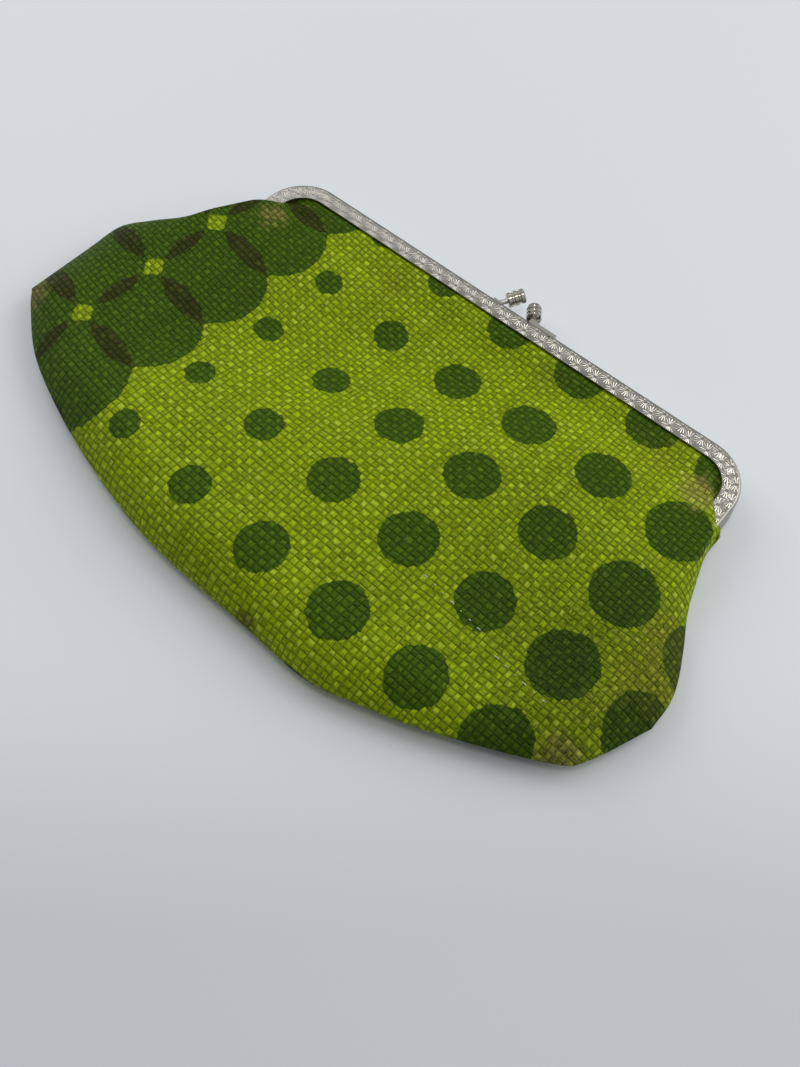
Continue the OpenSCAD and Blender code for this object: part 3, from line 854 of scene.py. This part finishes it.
def cloth_piece(name, points, places, material, flip, keep=None):
    """A piece of cloth on a grid of points; keep picks the grid's cells."""
    faces = grid_faces(*points.shape[:2], flip=flip)
    if keep is not None:
        faces = faces[keep.ravel()]
    used, order = np.unique(faces, return_inverse=True)
    piece = mesh_object(name, world(points.reshape(-1, 3)[used]), order.reshape(-1, 4), material)
    add_vectors(piece, "cloth", places.reshape(-1, 3)[used])
    return piece


def outer_panel(name, coarse, top, count, body, roll, flip):
    """One side of the bag, from its lower edge up to a top edge."""
    xs = columns(TIP_LEFT + TIP_SPARE, TIP_RIGHT - TIP_SPARE, CLOTH_FINE, coarse)
    y = rows(below(xs), top(xs), count)
    x = np.repeat(xs[:, None], count, axis=1)
    full, width = body(x, y), roll(y)
    points = np.stack([x, y, rolled(x, y, full, width)], axis=-1)
    piece = cloth_piece(name, points, wrapped_place(x, y, full, width), CLOTH, flip)
    thicken(piece, CLOTH_T)
    return piece


def front_panel():
    """The front cloth."""
    return outer_panel("front_cloth", FRONT_COARSE, front_top, FRONT_ROWS, front_body, front_roll, False)


def back_panel():
    """The back cloth."""
    return outer_panel("back_cloth", BACK_COARSE, back_top, BACK_ROWS, back_body, back_roll, True)


# Margin of the lining inside the outline, its thickness, and how deep the channel holds it.
LINING_IN, LINING_T, LINING_TUCK = 7.0, 0.35, 3.2
LINING_COLUMNS, LINING_LEAST = (0.8, 2.2), 1.0
# Gaps to the front cloth's top side and to the back cloth's inner side.
LINING_GAP, BACK_LINING_GAP = 1.5, 0.6
# Beyond the legs the lining ends below the fold at the hinges, and between them it goes into the legs.
LINING_SPLIT = -HINGE_S - 12.0
LINING_LEG_X, LINING_LEG_Y, LINING_TOUCH = LEG_IN - 1.0, 1.0 - LEG_END_S, 0.001
# The front lining stays under the band from these places on.
LINING_SIDE_FROM, LINING_SIDE_RUN, LINING_HELD_RUN = 70.0, 7.0, 8.0


def lining_rows(xs):
    """Row places of the lining: one block in the bag, and one from there into the channel."""
    low = below(xs) + LINING_IN
    wing = np.abs(xs) > FRAME_HALF
    split = np.where(wing, np.minimum(beside(xs) - LINING_IN, LINING_SPLIT), LINING_SPLIT)
    split = np.maximum(split, low + LINING_LEAST)
    high = np.where(np.abs(xs) < FRAME_HALF - LINING_TUCK, tucked(xs, LINING_TUCK), split)
    lower, upper = rows(low, split, LINING_ROWS), rows(split, high, LINING_ROWS)
    in_leg = np.abs(xs) > LINING_LEG_X
    upper[in_leg] = np.maximum(upper[in_leg], LINING_LEG_Y)
    return np.concatenate([lower, upper[:, 1:]], axis=1)


def lining_cells(x, y):
    """Cells of the lining's grid that are cloth: all in the bag, then between the legs and in them."""
    reach = np.maximum(np.abs(x[1:, 1:]), np.abs(x[:-1, 1:]))
    outer_y = np.where(x[1:, 1:] > 0, y[1:, 1:], y[:-1, 1:])
    held = (reach < FRAME_HALF - LINING_TUCK) & (outer_y > LINING_LEG_Y + LINING_TOUCH)
    keep = (reach < LINING_LEG_X) | held
    keep[:, :LINING_ROWS - 1] = True
    return keep


def lining_piece(name, heights, flip):
    """One side of the lining."""
    xs = columns(TIP_LEFT + LINING_IN, TIP_RIGHT - LINING_IN, *LINING_COLUMNS)
    y = lining_rows(xs)
    x = np.repeat(xs[:, None], y.shape[1], axis=1)
    points = np.stack([x, y, heights(x, y)], axis=-1)
    piece = cloth_piece(name, points, cloth_place(x, y), LINING_MATERIAL, flip, lining_cells(x, y))
    thicken(piece, LINING_T)
    return piece


def front_inside(x, y):
    """Heights of the front lining, which stays under the band at the legs."""
    z = front_height(x, y)
    side = smooth((np.abs(x) - LINING_SIDE_FROM) / LINING_SIDE_RUN)
    held = side * smooth((y - LINING_SPLIT) / LINING_HELD_RUN)
    return mix(z, np.minimum(z, BAND_Z - BAND_CLEAR), held) - LINING_GAP


def back_inside(x, y):
    """Heights of the back lining."""
    return back_height(x, y) + CLOTH_T + BACK_LINING_GAP


def front_lining():
    """The front half of the lining."""
    return lining_piece("front_lining", front_inside, True)


def back_lining():
    """The back half of the lining."""
    return lining_piece("back_lining_cloth", back_inside, False)


def bend_at_hinge(piece):
    """Bakes a piece's placement into its points."""
    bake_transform(piece)


# Packing cord

# The cord's place in the channel, radius and twist: strands that bulge by a share, and their lay.
CORD_IN, CORD_R, CORD_STEP, CORD_SIDES = 2.8, 0.55, 0.6, 15
CORD_STRANDS, CORD_BULGE, CORD_LAY = 3, 0.1, 4.2
CORD_Z = {"back": 3.5, "front": 6.8}


def channel_path(inset, step):
    """Points and sideways directions along the channel, from leg to leg."""
    r = CORNER_R - inset
    top = FRAME_HALF - CORNER_R
    leg = np.arange(LEG_END_S, CORNER_R, -step)
    turn = np.arange(0, math.pi / 2, step / r)
    line = np.arange(-top, 0, step)
    left = [(-FRAME_HALF + inset, -s, -1, 0) for s in leg]
    for a in turn:
        c, s = math.cos(a), math.sin(a)
        left.append((-top - r * c, -CORNER_R + r * s, -c, s))
    left += [(x, -inset, 0, 1) for x in line]
    right = [(-x, y, -nx, ny) for x, y, nx, ny in left[::-1]]
    return np.array(left + right)


def packing_cord(name, z, material):
    """A twisted paper cord along the channel."""
    path = channel_path(CORD_IN, CORD_STEP)
    steps = np.linalg.norm(np.diff(path[:, :2], axis=0), axis=1)
    run = np.concatenate([[0], np.cumsum(steps)])
    angle = np.linspace(0, 2 * np.pi, CORD_SIDES, endpoint=False)
    twist = 2 * np.pi * run[:, None] / CORD_LAY
    bulge = CORD_BULGE * np.cos(CORD_STRANDS * (angle[None] - twist))
    radius = CORD_R * (1 - CORD_BULGE + bulge)
    out = radius * np.cos(angle)
    points = np.empty((len(path), CORD_SIDES, 3))
    points[..., 0] = path[:, None, 0] + out * path[:, None, 2]
    points[..., 1] = path[:, None, 1] + out * path[:, None, 3]
    points[..., 2] = z + radius * np.sin(angle)
    faces = ring_faces(len(path), CORD_SIDES)
    return mesh_object(name, world(points.reshape(-1, 3)), faces, material)


# Embossed band

# Two rows of rosettes, by their distance from the band's inner edge, and the rays of each.
ROSETTE_PITCH, ROSETTE_ROWS = 6.15, (1.55, 3.65)
ROSETTE_IN, ROSETTE_OUT, ROSETTE_RAYS = 0.5, 2.2, 16
# Half widths and heights of a ray at its two ends, how far its foot is sunk, and its least length.
RAY_W, RAY_H, RAY_SUNK, RAY_LEAST = (0.11, 0.26), (0.035, 0.085), 0.02, 0.15
# Plain margins along the band's outer and inner edges.
OUTER_MARGIN, INNER_MARGIN = 0.95, 0.12
# Run of the band's outer edge from its middle to the end of a leg.
BAND_RUN = FRAME_HALF - CORNER_R + CORNER_R * math.pi / 2 + LEG_END_S - CORNER_R


def band_frame(distance, inset):
    """Point on the band at a run along its outer edge, with its outward direction."""
    top = FRAME_HALF - CORNER_R
    arc = CORNER_R * math.pi / 2
    side = 1 if distance >= 0 else -1
    d = abs(distance)
    if d <= top:
        point, out = (d, -inset), (0.0, 1.0)
    elif d <= top + arc:
        a = (d - top) / CORNER_R
        out = (math.sin(a), math.cos(a))
        r = CORNER_R - inset
        point = (top + r * out[0], -CORNER_R + r * out[1])
    else:
        point, out = (FRAME_HALF - inset, -CORNER_R - (d - top - arc)), (1.0, 0.0)
    return np.array([side * point[0], point[1]]), np.array([side * out[0], out[1]])


def ray(points, faces, centre, direction, face_z, up, inner, outer):
    """A raised stroke with a ridge, narrower at its inner end."""
    across = np.array([-direction[1], direction[0]])
    base = len(points)
    for at, half, ridge in zip((inner, outer), RAY_W, RAY_H):
        middle = centre + direction * at
        for offset, height in ((-half, -RAY_SUNK), (0.0, ridge), (half, -RAY_SUNK)):
            flat = middle + across * offset
            points.append((flat[0], flat[1], face_z + up * height))
    sides = [(0, 1, 4, 3), (1, 2, 5, 4), (0, 2, 1), (3, 4, 5), (0, 3, 5, 2)]
    for side in sides:
        order = side if up > 0 else side[::-1]
        faces.append(tuple(base + k for k in order))


def ray_reach(direction, out, inset):
    """Outer end of a ray that stays on the band."""
    lean = direction @ out
    if lean > 0:
        return min(ROSETTE_OUT, (BAND_W - inset - OUTER_MARGIN) / lean)
    if lean < 0:
        return min(ROSETTE_OUT, (inset - INNER_MARGIN) / -lean)
    return ROSETTE_OUT


def rosette(points, faces, run, inset, face_z, up):
    """The rays of one sunburst."""
    centre, out = band_frame(run, BAND_W - inset)
    for n in range(ROSETTE_RAYS):
        a = 2 * math.pi * (n + 0.5) / ROSETTE_RAYS
        turn = np.array([[math.cos(a), -math.sin(a)], [math.sin(a), math.cos(a)]])
        direction = turn @ out
        reach = ray_reach(direction, out, inset)
        if reach > ROSETTE_IN + RAY_LEAST:
            ray(points, faces, centre, direction, face_z, up, ROSETTE_IN, reach)


def rosettes(name, face_z, up, material):
    """Two staggered rows of sunburst rosettes stamped on a band."""
    points, faces = [], []
    count = int(BAND_RUN / ROSETTE_PITCH)
    for row, inset in enumerate(ROSETTE_ROWS):
        for k in range(-count, count + 1):
            run = (k + 0.5 * row) * ROSETTE_PITCH
            if abs(run) <= BAND_RUN - ROSETTE_OUT:
                rosette(points, faces, run, inset, face_z, up)
    piece = mesh_object(name, world(points), faces, material, False)
    add_levels(piece, "ridge", np.tile((0.0, 1.0, 0.0), len(points) // 3))
    return piece


# Stray threads

# Middles of the threads and how many glints each has, with their steps, slant, length, radius and arch.
THREADS = ((45, -83.2, 7), (70, -88, 6))
THREAD_STEP, THREAD_SLANT, THREAD_L, THREAD_R, THREAD_ARCH = 3.1, 0.35, 1.3, 0.11, 0.12
THREAD_RINGS, THREAD_SIDES = 6, 6
# The glints differ in length by a share that follows a wave.
THREAD_UNEVEN, THREAD_WAVE, THREAD_PHASE = 0.4, 2.3, 1.0


def glint(points, faces, x, y, length):
    """One short arch of thread on the front cloth."""
    xs = np.linspace(x - length / 2, x + length / 2, THREAD_RINGS)
    arch = THREAD_ARCH * np.sin(np.linspace(0, np.pi, THREAD_RINGS))
    zs = front_height(xs, np.full(THREAD_RINGS, y)) + arch
    faces.extend(ring_faces(THREAD_RINGS, THREAD_SIDES, len(points)))
    for px, pz in zip(xs, zs):
        for a in np.linspace(0, 2 * np.pi, THREAD_SIDES, endpoint=False):
            points.append((px, y + THREAD_R * math.cos(a), pz + THREAD_R * math.sin(a)))


def stray_threads(material):
    """Short glints of a pale loose thread that dips in and out of the weave."""
    points, faces = [], []
    for x, y, count in THREADS:
        for k in range(count):
            along = k - count / 2
            wave = math.sin(k * THREAD_WAVE + THREAD_PHASE)
            length = THREAD_L * (1 - THREAD_UNEVEN + THREAD_UNEVEN * wave)
            glint(points, faces, x + along * THREAD_STEP, y - along * THREAD_SLANT, length)
    return mesh_object("stray_threads", world(points), faces, material)


# Studio

FLOOR, FLOOR_NEAR_SHADE = linear(236, 241, 244), linear(213, 218, 222)
# The floor is painted a little darker on the near side, as shade: the way there, and where the change
# starts and ends.
FLOOR_DOWN, FLOOR_FADE = (0.64, -0.77), (0.05, 0.14)
FLOOR_HALF, FLOOR_Z, FLOOR_ROUGH = 3.0, -0.0003, 0.5
FLOOR_CLOUD, FLOOR_CLOUD_SCALE = 0.1, 2.0


def floor():
    """A plain pale floor, with shade painted towards the near side."""
    g = Graph("pale_floor")
    cloud = g.noise(g.place(), FLOOR_CLOUD_SCALE, detail=2.0)
    x, y, _ = g.parts(g.place())
    # Shade painted towards the near side, with a faint cloud.
    near = (x * FLOOR_DOWN[0] + y * FLOOR_DOWN[1]).ramp(*FLOOR_FADE)
    painted_floor_shade = (near + cloud * FLOOR_CLOUD).clamp()
    g.set(Base_Color=g.colours(FLOOR, FLOOR_NEAR_SHADE, painted_floor_shade), Roughness=FLOOR_ROUGH)
    corners = [(a * FLOOR_HALF, b * FLOOR_HALF, FLOOR_Z) for a, b in ((-1, -1), (1, -1), (1, 1), (-1, 1))]
    plane = mesh_object("floor", corners, [(0, 1, 2, 3)], g.material)


def lamp(name, location, size, power, colour):
    """A round soft lamp that points at the purse."""
    data = bpy.data.lights.new(name, "AREA")
    data.shape = "DISK"
    data.size = size
    data.energy = power
    data.color = colour
    obj = bpy.data.objects.new(name, data)
    obj.location = location
    obj.rotation_euler = (-Vector(location)).to_track_quat("-Z", "Y").to_euler()
    bpy.context.scene.collection.objects.link(obj)


WALL_LIGHT, CEILING_LIGHT = (0.16, 0.17, 0.18, 1.0), (0.47, 0.485, 0.5, 1.0)
# The room's light rises from the walls to the ceiling, and is dimmer from the near side.
RISE_FROM, RISE_TO = -0.1, 0.6
NEAR_FROM, NEAR_TO, NEAR_SIDE_DIM = -0.8, 0.1, 0.15
# Place, size, power and colour of each lamp.
LAMPS = {
    "window": ((0.6, 0.8, 0.6), 1.1, 6.5, (1.0, 0.99, 0.97)),
    "left_window": ((-0.95, 0.2, 0.65), 1.1, 4.0, (0.98, 0.99, 1.0)),
    "ceiling_lamp": ((0.12, -0.12, 1.2), 0.3, 1.3, (1.0, 0.98, 0.95)),
}


def sky(tree):
    """Room light: pale above, dim at the walls, and less of it from the near side."""
    direction = tree.nodes.new("ShaderNodeTexCoord")
    parts = tree.nodes.new("ShaderNodeSeparateXYZ")
    rise = tree.nodes.new("ShaderNodeMapRange")
    near = tree.nodes.new("ShaderNodeMapRange")
    blend = tree.nodes.new("ShaderNodeMix")
    blend.data_type = "RGBA"
    path = tree.nodes.new("ShaderNodeLightPath")
    rise.inputs["From Min"].default_value = RISE_FROM
    rise.inputs["From Max"].default_value = RISE_TO
    near.inputs["From Min"].default_value = NEAR_FROM
    near.inputs["From Max"].default_value = NEAR_TO
    near.inputs["To Min"].default_value = NEAR_SIDE_DIM
    for socket, colour in zip(MIX_COLOURS, (WALL_LIGHT, CEILING_LIGHT)):
        blend.inputs[socket].default_value = colour
    tree.links.new(direction.outputs["Generated"], parts.inputs[0])
    tree.links.new(parts.outputs["Z"], rise.inputs["Value"])
    tree.links.new(parts.outputs["Y"], near.inputs["Value"])
    tree.links.new(rise.outputs["Result"], blend.inputs[MIX_SHARE])
    tree.links.new(blend.outputs[MIXED_COLOUR], tree.nodes["Background"].inputs["Color"])
    strength = near.outputs["Result"]
    for ray_kind in ("Is Camera Ray", "Is Glossy Ray", "Is Transmission Ray"):
        most = tree.nodes.new("ShaderNodeMath")
        most.operation = "MAXIMUM"
        tree.links.new(strength, most.inputs[0])
        tree.links.new(path.outputs[ray_kind], most.inputs[1])
        strength = most.outputs[0]
    tree.links.new(strength, tree.nodes["Background"].inputs["Strength"])


def studio():
    """Plain soft room light and three lamps."""
    scene = bpy.context.scene
    scene.view_settings.view_transform = "Standard"
    world_data = bpy.data.worlds.new("studio")
    world_data.use_nodes = True
    sky(world_data.node_tree)
    scene.world = world_data
    for name, settings in LAMPS.items():
        lamp(name, *settings)


# The photograph's size and focal length in pixels, and the camera's place and aim in millimetres.
PHOTO_W, PHOTO_H, FOCAL_PX = 800, 1067, 1260
SENSOR_W, CLIP = 36.0, (0.01, 20.0)
CAMERA_AT, CAMERA_TO = (114.7, -189.2, 300.5), (19.85, -74.9, 9.0)


def camera():
    """The photograph's camera."""
    data = bpy.data.cameras.new("camera")
    data.sensor_width = SENSOR_W
    data.lens = FOCAL_PX / max(PHOTO_W, PHOTO_H) * data.sensor_width
    data.clip_start, data.clip_end = CLIP
    obj = bpy.data.objects.new("camera", data)
    at, to = (Vector(p) for p in world([CAMERA_AT, CAMERA_TO]))
    obj.location = at
    obj.rotation_euler = (to - at).to_track_quat("-Z", "Y").to_euler()
    bpy.context.scene.collection.objects.link(obj)
    bpy.context.scene.camera = obj


# Assembly

camera()
studio()
floor()

front_cloth = front_panel()
bend_at_hinge(front_cloth)
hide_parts("front_panel_lower", "front_panel_upper")

back_cloth = back_panel()
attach(back_cloth, "back_half")
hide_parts("back_panel")

front_inner = front_lining()
bend_at_hinge(front_inner)
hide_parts("front_lining_lower", "front_lining_upper")

back_inner = back_lining()
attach(back_inner, "back_half")
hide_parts("back_lining")

paper = paper_cord()
for half, z in CORD_Z.items():
    cord = packing_cord(half + "_paper_cord", z, paper)
    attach(cord, half + "_half")
    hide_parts(half + "_packing_cord")

strip_metal = plated("nickel_strip", NICKEL, NICKEL_DULL, rough=0.34, grain=0.008, pitted=1.0)
turned_metal = plated("nickel_turned", KNOB, KNOB_DEEP, rough=0.07, grain=0.0004, pitted=0.0)
rivet_metal = plated("nickel_rivet", NICKEL, NICKEL_DULL, rough=0.2, grain=0.002, pitted=0.0)
post_metal = plated("nickel_post", POST, POST_DEEP, rough=0.24, grain=0.002, pitted=0.0)
stamped_metal = stamped_plate()
METALS = {
    "front_frame": strip_metal,
    "back_frame": strip_metal,
    "hinge_rivet_left": rivet_metal,
    "hinge_rivet_right": rivet_metal,
    "front_knob_post": post_metal,
    "back_knob_post": post_metal,
    "front_knob": turned_metal,
    "back_knob": turned_metal,
}
for node, metal in METALS.items():
    data = frame["nodes"][node].data
    data.materials.clear()
    data.materials.append(metal)

for half, face_z, up in (("front", BAND_Z, 1), ("back", 0.0, -1)):
    stamped = rosettes(half + "_band_rosettes", face_z, up, stamped_metal)
    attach(stamped, half + "_half")

threads = stray_threads(loose_thread())
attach(threads, "back_half")
